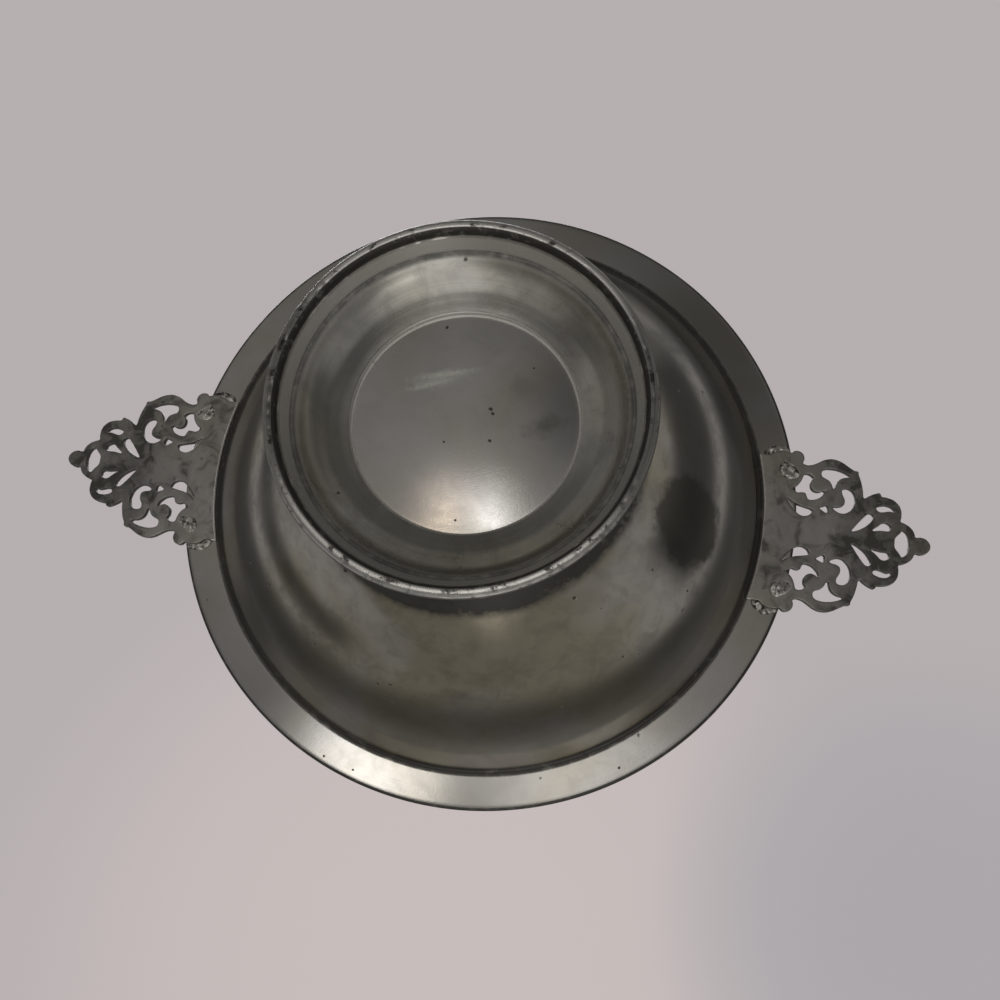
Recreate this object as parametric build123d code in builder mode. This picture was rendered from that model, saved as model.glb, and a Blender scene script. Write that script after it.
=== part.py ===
import os
from math import acos, asin, atan2, cos, degrees, radians, sin

from build123d import *

# Pewter porringer, in millimetres. It stands on its foot: the origin is the middle of the foot's base,
# +Z goes up through the bowl and the two handles lie along X.

# Bowl
rim_radius = 75.0  # outer edge of the flat rim
overall_height = 67.8  # foot's base to the rim's top
rim_width = 8.0  # rim's edge in to the bend
bowl_sheet = 1.6
bend_fillet = 1.3  # hollow corner under the rim, where it turns into the wall
wall_bow = 11  # degrees that the wall's two ends lean from its chord
bottom_turn = 4  # degrees of the lower lean that the turn out of the bottom takes up
bottom_sag = 0.4  # how far the middle of the bottom disc bulges down

# Foot
foot_height = 13.2  # foot's base to the underside of the bowl
foot_radius = 36.4  # outer edge of the bead
foot_sheet = 1.2
bead_radius = 1.2
bead_flat_depth = 0.1  # worn flat on the bead, which the porringer stands on
band_inside_angle = 150  # where the flared band leaves the bead, on its inside and on its outside
band_outside_angle = 85
band_run = 1.95  # how far the band leans in, from the bead up to the step
step_height = 5.1  # foot's base to the underside of the step
step_width = 0.5
cove_run = 9.3  # step in to the collar
cove_bow = 20  # degrees that the cove's two ends lean from its chord
collar_height = 1.3
outer_seam_width = 0.5  # solder outside the collar
outer_seam_height = 0.4
inner_seam_width = 0.45  # solder inside the collar

# Handles
handle_reach = 30.8  # rim's edge to the tip of the handle
handle_width = 39.4  # across the two ears
handle_thickness = 1.6
handle_swing = 1.5  # degrees that each handle sits round from the X axis, towards +Y
puddle_depth = 1.5  # solder standing in the ears' eyes and in the crescents over the rim
toe_depth = 0.6  # solder along the two ends of each handle

# Heights and radii that follow from these
rim_underside = overall_height - bowl_sheet
rim_flat_radius = rim_radius - bowl_sheet / 2
bend_radius = rim_radius - rim_width
bend_centre = Vector(bend_radius, rim_underside - bend_fillet)
inside_bottom = foot_height + bowl_sheet
bead_centre = Vector(foot_radius - bead_radius, bead_radius - bead_flat_depth)
bead_flat_angle = degrees(acos(bead_centre.Y / bead_radius))
step_top = step_height + foot_sheet


# A point on the bead's round section, by its angle from the outside.
def on_bead(angle):
    return bead_centre + Vector(cos(radians(angle)), sin(radians(angle))) * bead_radius


step_radius = on_bead(band_inside_angle).X - band_run
cove_outside = step_radius - step_width
collar_radius = cove_outside - cove_run
collar_outside = collar_radius + foot_sheet
landing_radius = collar_outside + outer_seam_width
disc_radius = collar_radius - inner_seam_width
sag_radius = (disc_radius**2 + bottom_sag**2) / (2 * bottom_sag)
sag_angle = degrees(asin(disc_radius / sag_radius))


# A point on a round section of the bowl, by its centre, its radius and how steep the bowl is there.
def at_slope(centre, radius, slope):
    return centre + Vector(sin(radians(slope)), -cos(radians(slope))) * radius


# The wall is two arcs that run into each other: a short turn out of the bottom, and the long wall.
# Their slopes follow from the chord, and their radii from where they have to end.
chord_slope = degrees(atan2(rim_underside - foot_height, bend_radius - landing_radius))
low_slope = chord_slope - wall_bow + bottom_turn
top_slope = chord_slope + wall_bow
wall_start = Vector(landing_radius, foot_height)
wall_way = at_slope(bend_centre, -bend_fillet, top_slope) - wall_start
turn_way = at_slope(Vector(0, 1), 1, low_slope)
long_way = at_slope(Vector(0, 0), 1, top_slope) - at_slope(Vector(0, 0), 1, low_slope)
turn_radius = wall_way.cross(long_way).Z / turn_way.cross(long_way).Z
wall_radius = turn_way.cross(wall_way).Z / turn_way.cross(long_way).Z
turn_centre = Vector(landing_radius, foot_height + turn_radius)
wall_centre = at_slope(turn_centre, turn_radius - wall_radius, low_slope)

# The cove is an arc over its chord, from the collar down to the step, and the sheet's outside runs along it.
cove_top = Vector(collar_radius, foot_height - collar_height)
cove_way = Vector(cove_outside, step_height) - cove_top
cove_slope = degrees(atan2(-cove_way.Y, cove_way.X))
cove_radius = cove_way.length / (2 * sin(radians(cove_bow)))
cove_centre = at_slope(cove_top, -cove_radius, 180 - cove_slope + cove_bow)
outside_radius = cove_radius + foot_sheet
outside_start = degrees(asin((step_top - cove_centre.Y) / outside_radius))
outside_end = degrees(acos((collar_outside - cove_centre.X) / outside_radius))
outside_foot = cove_centre.X + outside_radius * cos(radians(outside_start))
outside_top = cove_centre.Y + outside_radius * sin(radians(outside_end))

# The handle's drawing, for one half. Each point is (out from the rim's edge, out from the centre line).
# Two points make a straight edge, three make an arc, and more make a smooth curve.
drawn_edge = [
    [(-7.7, 17.9), (-6.4, 18.9), (-4.5, 19.3), (-2.7, 18.9)],
    [(-2.7, 18.9), (-1.7, 19.7), (-0.3, 19.3), (0.4, 17.9), (0.0, 16.7)],
    [(0.0, 16.7), (1.6, 16.4), (3.2, 17.0), (5.0, 18.1), (7.3, 18.6), (9.6, 18.0), (11.6, 16.8), (12.6, 16.3)],
    [(12.6, 16.3), (13.2, 16.3), (13.5, 15.4)],
    [(13.5, 15.4), (14.4, 13.2), (14.8, 11.3), (15.0, 9.6)],
    [(15.0, 9.6), (16.4, 10.7), (18.3, 11.6)],
    [(18.3, 11.6), (18.9, 11.5), (18.9, 10.8)],
    [(18.9, 10.8), (20.6, 10.7), (22.4, 10.1), (23.7, 8.7), (24.1, 7.2), (23.8, 5.2)],
    [(23.8, 5.2), (25.6, 4.6), (27.0, 3.4), (27.5, 1.75)],
    [(27.5, 1.75), (29.9, 1.85), (31.2, 0.0)],
]
base_crescent = [
    [(-3.6, 8.3), (-2.4, 6.2), (-0.8, 4.6), (0.6, 3.8), (2.2, 4.0), (3.2, 5.5)],
    [(3.2, 5.5), (1.4, 5.9), (-0.6, 6.4), (-2.2, 7.2), (-3.6, 8.3)],
]
ear_eye = [
    [(-5.1, 14.9), (-4.6, 13.6), (-3.1, 12.8), (-1.4, 12.8), (-0.4, 13.6)],
    [(-0.4, 13.6), (-1.4, 14.8), (-2.7, 15.8), (-4.4, 16.1), (-5.1, 14.9)],
]
inner_scroll = [
    [(-2.4, 10.1), (-1.4, 9.7), (-0.6, 9.2)],
    [(-0.6, 9.2), (0.3, 9.5), (1.2, 9.4), (1.6, 8.7), (2.0, 7.9)],
    [(2.0, 7.9), (3.6, 8.1), (5.0, 9.0), (5.8, 10.4), (6.0, 11.6)],
    [(6.0, 11.6), (5.3, 10.4), (3.9, 9.9), (2.6, 10.6), (2.2, 11.8), (2.9, 13.2)],
    [(2.9, 13.2), (2.2, 13.9), (0.6, 14.0)],
    [(0.6, 14.0), (0.2, 12.6), (-0.6, 11.2), (-2.4, 10.1)],
]
small_triangle = [
    [(4.2, 6.4), (5.4, 5.7), (6.5, 5.0)],
    [(6.5, 5.0), (6.8, 6.0), (6.5, 7.1)],
    [(6.5, 7.1), (5.6, 6.6), (4.2, 6.4)],
]
outer_scroll = [
    [(7.8, 6.7), (8.9, 5.8), (10.5, 5.5), (12.1, 6.5), (13.0, 8.4), (12.9, 10.2), (12.0, 11.4), (9.9, 11.3)],
    [(9.9, 11.3), (10.0, 10.2), (10.7, 8.7), (10.4, 7.4), (9.2, 6.9), (7.8, 6.7)],
]
side_arch = [
    [(7.9, 9.8), (7.6, 11.6), (6.4, 13.3), (4.8, 14.2), (4.9, 15.4), (6.0, 16.0), (7.7, 16.1), (9.8, 15.7),
     (12.2, 14.5)],
    [(12.2, 14.5), (10.4, 14.4), (8.9, 13.6), (8.2, 12.0), (7.9, 9.8)],
]
teardrop = [
    [(12.4, 1.3), (14.2, 2.0), (16.2, 3.4), (17.6, 5.4)],
    [(17.6, 5.4), (17.3, 6.2), (16.4, 6.3)],
    [(16.4, 6.3), (15.1, 4.9), (13.9, 3.3), (12.4, 1.3)],
]
inner_slit = [
    [(16.2, 1.4), (18.6, 2.4), (21.0, 2.5)],
    [(21.0, 2.5), (21.8, 3.5), (21.2, 4.3)],
    [(21.2, 4.3), (20.2, 4.5), (19.2, 3.8)],
    [(19.2, 3.8), (16.2, 1.4)],
]
leaf_crescent = [
    [(18.0, 7.9), (19.1, 7.0), (20.2, 7.2), (21.4, 7.5), (22.6, 6.9)],
    [(22.6, 6.9), (22.0, 8.2), (20.6, 8.7), (19.2, 8.5), (18.0, 7.9)],
]
tip_arch = [
    [(22.9, 0.0), (23.1, 1.4), (23.9, 2.3), (24.4, 3.3)],
    [(24.4, 3.3), (25.6, 2.5), (26.1, 1.2), (26.2, 0.0)],
]
toe_lens = [
    [(-9.4, 17.2), (-5.8, 20.3), (-2.6, 18.8)],
    [(-2.6, 18.8), (-9.4, 17.2)],
]
rim_piercings = [base_crescent, ear_eye]
free_piercings = [inner_scroll, small_triangle, outer_scroll, side_arch, teardrop, inner_slit, leaf_crescent]
drawn_reach = drawn_edge[-1][-1][0]
drawn_width = 2 * max(side for stretch in drawn_edge for out, side in stretch)


# Puts a point of the drawing at the asked reach and width, seen from the bowl's axis.
def place(out, side):
    return (rim_radius + out * handle_reach / drawn_reach, side * handle_width / drawn_width)


# Draws the stretches of an outline in the line that is being built.
def draw(stretches):
    for stretch in stretches:
        points = [place(out, side) for out, side in stretch]
        if len(points) == 2:
            Line(*points)
        elif len(points) == 3:
            ThreePointArc(*points)
        else:
            Spline(*points)


# Adds an outline and its mirror image across the centre line to the sketch that is being built.
def add_pair(stretches):
    with BuildLine() as outline:
        draw(stretches)
    half = make_face(outline.line, mode=Mode.PRIVATE)
    add(half)
    mirror(half, about=Plane.XZ)


# The bowl is one sheet: bottom disc, round wall and flat rim.
with BuildPart() as bowl:
    with BuildSketch(Plane.XZ):
        with BuildLine():
            CenterArc((0, foot_height - bottom_sag + sag_radius), sag_radius, 270, sag_angle)
            Line((disc_radius, foot_height), (landing_radius, foot_height))
            CenterArc(turn_centre, turn_radius, 270, low_slope)
            CenterArc(wall_centre, wall_radius, 270 + low_slope, top_slope - low_slope)
            CenterArc(bend_centre, bend_fillet, 90 + top_slope, -top_slope)
            Line((bend_radius, rim_underside), (rim_flat_radius, rim_underside))
            CenterArc((rim_flat_radius, overall_height - bowl_sheet / 2), bowl_sheet / 2, -90, 180)
            Line((rim_flat_radius, overall_height), (bend_radius, overall_height))
            CenterArc(bend_centre, bend_fillet + bowl_sheet, 90, top_slope)
            CenterArc(wall_centre, wall_radius - bowl_sheet, 270 + top_slope, low_slope - top_slope)
            CenterArc(turn_centre, turn_radius - bowl_sheet, 270 + low_slope, -low_slope)
            Line((landing_radius, inside_bottom), (disc_radius, inside_bottom))
            CenterArc((0, inside_bottom - bottom_sag + sag_radius), sag_radius, 270, sag_angle)
            Line((0, inside_bottom - bottom_sag), (0, foot_height - bottom_sag))
        make_face()
    revolve(axis=Axis.Z)
bowl.part.label = "bowl"

# The foot is one sheet too: collar, cove, step and band, down to the rolled bead.
with BuildPart() as foot:
    with BuildSketch(Plane.XZ):
        with BuildLine():
            Line((collar_outside, foot_height), (collar_radius, foot_height))
            Line((collar_radius, foot_height), cove_top)
            CenterArc(cove_centre, cove_radius, 90 - cove_slope + cove_bow, -2 * cove_bow)
            Line((cove_outside, step_height), (step_radius, step_height))
            Line((step_radius, step_height), on_bead(band_inside_angle))
            CenterArc(bead_centre, bead_radius, band_inside_angle, 270 - bead_flat_angle - band_inside_angle)
            Line(on_bead(270 - bead_flat_angle), on_bead(270 + bead_flat_angle))
            CenterArc(
                bead_centre, bead_radius, bead_flat_angle - 90, band_outside_angle + 90 - bead_flat_angle
            )
            Line(on_bead(band_outside_angle), (step_radius + foot_sheet, step_top))
            Line((step_radius + foot_sheet, step_top), (outside_foot, step_top))
            CenterArc(cove_centre, outside_radius, outside_start, outside_end - outside_start)
            Line((collar_outside, outside_top), (collar_outside, foot_height))
        make_face()
    revolve(axis=Axis.Z)
foot.part.label = "foot"

# Solder runs round the collar in two rings, each a small three-sided bead against the bowl's underside.
with BuildPart() as foot_outer_seam:
    with BuildSketch(Plane.XZ):
        with BuildLine():
            Polyline(
                (collar_outside, foot_height - outer_seam_height),
                (collar_outside, foot_height),
                (landing_radius, foot_height),
                close=True,
            )
        make_face()
    revolve(axis=Axis.Z)
foot_outer_seam.part.label = "foot_outer_seam"

with BuildPart() as foot_inner_seam:
    with BuildSketch(Plane.XZ):
        with BuildLine():
            Polyline(
                (collar_radius, foot_height - inner_seam_width),
                (collar_radius, foot_height),
                (disc_radius, foot_height),
                close=True,
            )
        make_face()
    revolve(axis=Axis.Z)
foot_inner_seam.part.label = "foot_inner_seam"

# The handle is a flat pierced casting that lies against the underside of the rim, up to the bend.
handle_axis = (cos(radians(handle_swing)), sin(radians(handle_swing)), 0)
handle_plane = Plane((0, 0, rim_underside), x_dir=handle_axis, z_dir=(0, 0, -1))
ear_side = place(*drawn_edge[0][0])[1]

with BuildSketch(Plane.XY) as plate:
    with BuildLine():
        Line((bend_radius / 2, 0), (bend_radius / 2, ear_side))
        Line((bend_radius / 2, ear_side), place(*drawn_edge[0][0]))
        draw(drawn_edge)
        mirror(about=Plane.XZ)
    make_face()
    Circle(bend_radius, mode=Mode.SUBTRACT)

with BuildSketch(Plane.XY) as free_openings:
    for piercing in free_piercings:
        add_pair(piercing)
    with BuildLine():
        draw(tip_arch)
        mirror(about=Plane.XZ)
    make_face()

with BuildSketch(Plane.XY) as rim_openings:
    for piercing in rim_piercings:
        add_pair(piercing)

with BuildPart() as right_handle:
    with BuildSketch(handle_plane):
        add(plate.sketch_local)
        add(free_openings.sketch_local, mode=Mode.SUBTRACT)
        add(rim_openings.sketch_local, mode=Mode.SUBTRACT)
    extrude(amount=handle_thickness)
right_handle.part.label = "right_handle"

with BuildPart() as left_handle:
    mirror(right_handle.part, about=Plane.YZ)
left_handle.part.label = "left_handle"

# The solder that holds a handle fills its ears' eyes, and stands in its crescents and along its two ends.
with BuildPart() as right_handle_solder:
    with BuildSketch(handle_plane):
        add_pair(base_crescent)
        Circle(rim_flat_radius, mode=Mode.INTERSECT)
        add_pair(ear_eye)
    extrude(amount=puddle_depth)
    with BuildSketch(handle_plane):
        add_pair(toe_lens)
        add(plate.sketch_local, mode=Mode.SUBTRACT)
        Circle(rim_flat_radius, mode=Mode.INTERSECT)
        Circle(bend_radius, mode=Mode.SUBTRACT)
    extrude(amount=toe_depth)
right_handle_solder.part.label = "right_handle_solder"

with BuildPart() as left_handle_solder:
    mirror(right_handle_solder.part, about=Plane.YZ)
left_handle_solder.part.label = "left_handle_solder"

os.makedirs("parts", exist_ok=True)
export_step(bowl.part, "parts/bowl.step")
export_step(foot.part, "parts/foot.step")
export_step(foot_outer_seam.part, "parts/foot_outer_seam.step")
export_step(foot_inner_seam.part, "parts/foot_inner_seam.step")
export_step(right_handle.part, "parts/right_handle.step")
export_step(left_handle.part, "parts/left_handle.step")
export_step(right_handle_solder.part, "parts/right_handle_solder.step")
export_step(left_handle_solder.part, "parts/left_handle_solder.step")
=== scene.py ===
import math
import random

import bpy
from mathutils import Matrix, Vector, noise


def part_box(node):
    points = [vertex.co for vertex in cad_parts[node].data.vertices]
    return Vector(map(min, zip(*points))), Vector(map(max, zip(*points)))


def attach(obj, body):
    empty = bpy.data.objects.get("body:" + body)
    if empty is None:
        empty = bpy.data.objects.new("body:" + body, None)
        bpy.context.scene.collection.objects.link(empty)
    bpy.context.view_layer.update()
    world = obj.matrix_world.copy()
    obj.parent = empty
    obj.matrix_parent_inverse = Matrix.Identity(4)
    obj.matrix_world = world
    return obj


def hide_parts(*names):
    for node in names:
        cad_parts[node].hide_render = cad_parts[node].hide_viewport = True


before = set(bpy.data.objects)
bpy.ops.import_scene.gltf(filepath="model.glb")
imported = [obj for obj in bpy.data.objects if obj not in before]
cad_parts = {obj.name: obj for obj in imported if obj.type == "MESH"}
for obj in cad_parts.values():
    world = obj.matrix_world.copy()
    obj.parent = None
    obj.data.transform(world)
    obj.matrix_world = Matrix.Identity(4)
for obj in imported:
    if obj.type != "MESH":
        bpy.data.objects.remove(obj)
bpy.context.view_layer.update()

mm = 0.001
print("frame loaded:", ", ".join(sorted(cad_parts)))

# Turned pieces: their section is read off the frame, along the seam of the turning

turnLook = {"onSeam": 0.002 * mm, "onAxis": 0.001 * mm, "hollowReach": 0.5 * mm, "flatFrom": 0.985,
            "sharpAngle": 38}


def seamStretches(node):
    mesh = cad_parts[node].data
    onSeam = turnLook["onSeam"]
    found = {}
    for face in mesh.polygons:
        ends = []
        for corner in face.loop_indices:
            spot = mesh.vertices[mesh.loops[corner].vertex_index].co
            if abs(spot.y) < onSeam and spot.x > -onSeam:
                facing = mesh.corner_normals[corner].vector
                point = Vector((max(spot.x, 0), spot.z))
                ends.append((point, Vector((facing.x, facing.z)).normalized()))
        if len(ends) == 2:
            keys = [(round(point.x, 7), round(point.y, 7)) for point, facing in ends]
            if keys[0] != keys[1]:
                found[frozenset(keys)] = dict(zip(keys, ends))
    return found


def smoothStretch(start, end, step):      # points from start up to, not including, end
    chord = end[0] - start[0]
    count = max(1, math.ceil(chord.length / step))
    slopes = []
    for point, facing in (start, end):
        along = Vector((-facing.y, facing.x))
        slopes.append(along * math.copysign(chord.length, along.dot(chord)))
    points = []
    for i in range(count):
        t = i / count
        points.append(start[0] * (2 * t**3 - 3 * t**2 + 1) + slopes[0] * (t**3 - 2 * t**2 + t)
                      + end[0] * (3 * t**2 - 2 * t**3) + slopes[1] * (t**3 - t**2))
    return points


def section(node, step):      # the whole section in order, and whether it closes on itself
    stretches = seamStretches(node)
    meets = {}
    for keys in stretches:
        for key in keys:
            meets.setdefault(key, []).append(keys)
    loose = sorted(key for key in meets if len(meets[key]) == 1)
    here = loose[0] if loose else min(meets, key=lambda key: (key[1], key[0]))
    points, used, turn = [], set(), 0
    while True:
        ways = [keys for keys in meets[here] if keys not in used]
        if not ways:
            break
        used.add(ways[0])
        there = next(key for key in ways[0] if key != here)
        start, end = stretches[ways[0]][here], stretches[ways[0]][there]
        chord = end[0] - start[0]
        turn += chord.x * start[1].y - chord.y * start[1].x
        points += smoothStretch(start, end, step)
        here = there
    if loose:
        points.append(Vector(here))
    if turn > 0:      # the metal lies on the left of the way round
        points.reverse()
    return points, not loose


def facings(points, closed):      # outward normal of the section at each point
    result = []
    for i in range(len(points)):
        before = points[i - 1] if closed or i else points[i]
        after = points[(i + 1) % len(points)] if closed or i + 1 < len(points) else points[i]
        way = (after - before).normalized()
        result.append(Vector((way.y, -way.x)))
    return result


def bends(points, closed, reach, window=2.0):      # hollow (+) or proud (-) near each point, in radians
    count = len(points)
    turns, steps = [], []
    for i in range(count):
        a, b, c = points[i - 1], points[i], points[(i + 1) % count]
        steps.append((c - b).length)
        u, v = b - a, c - b
        inside = closed or 0 < i < count - 1
        turns.append(math.atan2(v.x * u.y - v.y * u.x, u.dot(v)) if inside else 0.0)
    result = []
    for i in range(count):
        total = turns[i]
        for direction in (1, -1):
            j, away = i, 0.0
            while True:
                away += steps[j] if direction > 0 else steps[j - 1]
                j = (j + direction) % count
                if away > window * reach or j == i or (not closed and j in (0, count - 1)):
                    break
                total += turns[j] * math.exp(-(away / reach)**2)
        result.append(total)
    return result


def softened(points, reach, window=2.5):      # a closed section with its corners rounded off
    count = len(points)
    result = []
    for i in range(count):
        total, weight = points[i].copy(), 1.0
        for direction in (1, -1):
            j, away = i, 0.0
            while away < window * reach:
                k = (j + direction) % count
                away += (points[k] - points[j]).length
                j = k
                share = math.exp(-(away / reach)**2)
                total += points[j] * share
                weight += share
        result.append(total / weight)
    return result


def turnPiece(name, node, step, around, wear, rounding=0.0, twoFinishes=False):
    points, closed = section(node, step)
    hollows = bends(points, closed, turnLook["hollowReach"])
    if rounding:
        points = softened(points, rounding)
    normals = facings(points, closed)
    spots, masks, tilts, rings = [], [], [], []
    for i, point in enumerate(points):
        onAxis = point.x < turnLook["onAxis"]
        ring = []
        for j in range(1 if onAxis else around):
            angle = 2 * math.pi * j / around
            outward = Vector((math.cos(angle), math.sin(angle), 0))
            spot = outward * point.x + Vector((0, 0, point.y))
            normal = outward * normals[i].x + Vector((0, 0, normals[i].y))
            ring.append(len(spots))
            spots.append(spot + normal * wear(spot, normal, angle))
            masks.append(hollows[i])
            tilts.append(normals[i].y)
        rings.append(ring)
    faces, finishes = [], []
    for i in range(len(rings) if closed else len(rings) - 1):
        flat = twoFinishes and abs(normals[i].y) > turnLook["flatFrom"]      # takes the second finish
        one, two = rings[i], rings[(i + 1) % len(rings)]
        for j in range(around):
            k = (j + 1) % around
            corners = [one[j % len(one)], one[k % len(one)], two[k % len(two)], two[j % len(two)]]
            faces.append(list(dict.fromkeys(corners)))
            finishes.append(1 if flat else 0)
    mesh = bpy.data.meshes.new(name)
    mesh.from_pydata(spots, [], faces)
    mesh.shade_smooth()
    mesh.set_sharp_from_angle(angle=math.radians(turnLook["sharpAngle"]))
    mesh.attributes.new("hollow", "FLOAT", "POINT").data.foreach_set("value", masks)
    mesh.attributes.new("tilt", "FLOAT", "POINT").data.foreach_set("value", tilts)
    mesh.polygons.foreach_set("material_index", finishes)
    print(name, "turned:", len(spots), "points")
    return place(name, mesh, node)


def place(name, mesh, node):      # puts a finished mesh in the scene, in place of its CAD node
    piece = bpy.data.objects.new(name, mesh)
    bpy.context.scene.collection.objects.link(piece)
    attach(piece, "root")
    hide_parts(node)
    return piece


# Bowl

bowlLook = {"around": 720, "step": 0.7 * mm, "ripple": 0.05 * mm, "rippleSize": 24 * mm, "flatCalm": 0.7}


def bowlWear(spot, normal, angle):      # the slow waves that spinning leaves in the sheet
    calm = bowlLook["flatCalm"] * abs(normal.z)**4
    return bowlLook["ripple"] * noise.noise(spot / bowlLook["rippleSize"]) * (1 - calm)


spunBowl = turnPiece("spunBowl", "bowl", bowlLook["step"], bowlLook["around"], bowlWear, twoFinishes=True)

# Foot

footLook = {"around": 900, "step": 0.15 * mm, "rounding": 0.3 * mm, "nicks": 46, "nickDepth": 0.14 * mm,
            "nickWidth": 0.55 * mm, "nickLean": 0.5, "beadTop": 3 * mm, "beadDepth": 2.6 * mm,
            "rings": 0.035 * mm, "ringWidth": 3.2 * mm, "coveFrom": 5.4 * mm, "coveTo": 11.4 * mm,
            "waver": 0.02 * mm, "waverSize": 9 * mm}
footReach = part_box("foot")[1].x
dice = random.Random(11)
nicks = []
for i in range(footLook["nicks"]):
    nicks.append({"angle": dice.uniform(-math.pi, math.pi), "tilt": dice.uniform(-0.4, 1.5),
                  "width": footLook["nickWidth"] * dice.uniform(0.6, 2.2) / footReach,
                  "depth": footLook["nickDepth"] * dice.uniform(0.3, 1.0)})


def footWear(spot, normal, angle):      # knocks along the rolled bead, and faint lathe rings in the cove
    depth, reach = 0.0, math.hypot(spot.x, spot.y)
    risen = max((spot.z - footLook["coveFrom"]) / mm, 0)
    left = max((footLook["coveTo"] - spot.z) / mm, 0)
    inCove = min(risen, left, 1)
    depth += inCove * footLook["rings"] * math.sin(2 * math.pi * reach / footLook["ringWidth"])
    if spot.z < footLook["beadTop"] and reach > footReach - footLook["beadDepth"]:
        lean = math.atan2(-normal.z, math.hypot(normal.x, normal.y))
        for nick in nicks:
            away = (angle - nick["angle"] + math.pi) % (2 * math.pi) - math.pi
            if abs(away) < 3 * nick["width"]:
                across = (lean - nick["tilt"]) / footLook["nickLean"]
                depth += nick["depth"] * math.exp(-(away / nick["width"])**2 - across**2)
    return footLook["waver"] * noise.noise(spot / footLook["waverSize"]) - depth


turnedFoot = turnPiece("turnedFoot", "foot", footLook["step"], footLook["around"], footWear,
                       footLook["rounding"])

# Rings of solder that hold the foot

ringLook = {"around": 540, "outerStep": 0.08 * mm, "outerRounding": 0.15 * mm, "innerStep": 0.06 * mm,
            "innerRounding": 0.12 * mm, "waver": 0.02 * mm, "waverSize": 6 * mm}


def ringWear(spot, normal, angle):      # solder runs a little unevenly along its seam
    return ringLook["waver"] * noise.noise(spot / ringLook["waverSize"])


outerRing = turnPiece("outerSolderRing", "foot_outer_seam", ringLook["outerStep"], ringLook["around"],
                      ringWear, ringLook["outerRounding"])
innerRing = turnPiece("innerSolderRing", "foot_inner_seam", ringLook["innerStep"], ringLook["around"],
                      ringWear, ringLook["innerRounding"])

# Handles and the solder that holds them

handleLook = {"grain": 0.2 * mm, "softening": 7, "waver": 0.03 * mm, "waverSize": 3 * mm, "spread": 0.0}
puddleLook = {"grain": 0.15 * mm, "softening": 6, "waver": 0.42 * mm, "waverSize": 1.3 * mm,
              "spread": 0.4 * mm, "spreadFrom": 10 * mm}


def castPiece(name, node, look):      # the solid meshed anew in small squares, so that its edges go soft
    block = bpy.data.objects.new(name + "Block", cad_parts[node].data.copy())
    bpy.context.scene.collection.objects.link(block)
    remesh = block.modifiers.new("evenMesh", "REMESH")
    remesh.mode = "VOXEL"
    remesh.voxel_size = look["grain"]
    soften = block.modifiers.new("softEdges", "SMOOTH")
    soften.factor = 0.5
    soften.iterations = look["softening"]
    graph = bpy.context.evaluated_depsgraph_get()
    mesh = bpy.data.meshes.new_from_object(block.evaluated_get(graph))
    shape = block.data
    bpy.data.objects.remove(block)
    bpy.data.meshes.remove(shape)
    mesh.name = name
    normals = [vertex.normal.copy() for vertex in mesh.vertices]
    for vertex, normal in zip(mesh.vertices, normals):
        swell = look["waver"] * noise.noise(vertex.co / look["waverSize"])
        if look["spread"]:      # solder stands up in lumps at the ears, and lies flush in the crescents
            swell = swell + look["spread"] if abs(vertex.co.y) > look["spreadFrom"] else 0.0
        vertex.co += normal * swell
    mesh.shade_smooth()
    sides = [1 - abs(normal.z) for normal in normals]
    mesh.attributes.new("side", "FLOAT", "POINT").data.foreach_set("value", sides)
    print(name, "cast:", len(mesh.vertices), "points")
    return place(name, mesh, node)


rightHandle = castPiece("rightCastHandle", "right_handle", handleLook)
leftHandle = castPiece("leftCastHandle", "left_handle", handleLook)
rightSolder = castPiece("rightHandleSolder", "right_handle_solder", puddleLook)
leftSolder = castPiece("leftHandleSolder", "left_handle_solder", puddleLook)

# Node helpers


def put(tree, kind, inputs=None, **settings):
    node = tree.nodes.new(kind if kind.startswith("NodeGroup") else "ShaderNode" + kind)
    for key, value in settings.items():
        setattr(node, key, value)
    for key, value in (inputs or {}).items():
        if isinstance(value, bpy.types.NodeSocket):
            tree.links.new(value, node.inputs[key])
        else:
            node.inputs[key].default_value = value
    return node


def calc(tree, operation, *values, clamp=False):
    return put(tree, "Math", dict(enumerate(values)), operation=operation, use_clamp=clamp).outputs[0]


def times(tree, first, *others):
    for other in others:
        first = calc(tree, "MULTIPLY", first, other)
    return first


def timesPlus(tree, value, factor, extra, clamp=False):
    return calc(tree, "MULTIPLY_ADD", value, factor, extra, clamp=clamp)


def ramp(tree, value, low, high, toLow=0.0, toHigh=1.0):
    limits = {"Value": value, "From Min": low, "From Max": high, "To Min": toLow, "To Max": toHigh}
    return put(tree, "MapRange", limits, interpolation_type="SMOOTHSTEP").outputs[0]


def blend(tree, share, one, two, kind="MIX"):
    return put(tree, "MixRGB", {"Fac": share, "Color1": one, "Color2": two}, blend_type=kind).outputs[0]


def between(tree, share, one, two):
    return put(tree, "Mix", {0: share, 2: one, 3: two}).outputs[0]


def opaque(colour):
    return (*colour, 1)


def clouds(tree, spot, scale, detail, roughness=0.5, distortion=0.0):
    return put(tree, "TexNoise", {"Vector": spot, "Scale": scale, "Detail": detail, "Roughness": roughness,
                                  "Distortion": distortion}).outputs[0]


def stripes(tree, along, scale, detail):      # noise that goes by one number, about 0
    lines = put(tree, "TexNoise", {"W": along, "Scale": scale, "Detail": detail}, noise_dimensions="1D")
    return calc(tree, "SUBTRACT", lines.outputs[0], 0.5)


def alike(tree, way, other):      # how far one direction goes along another
    return put(tree, "VectorMath", {0: way, 1: other}, operation="DOT_PRODUCT").outputs["Value"]


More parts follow.
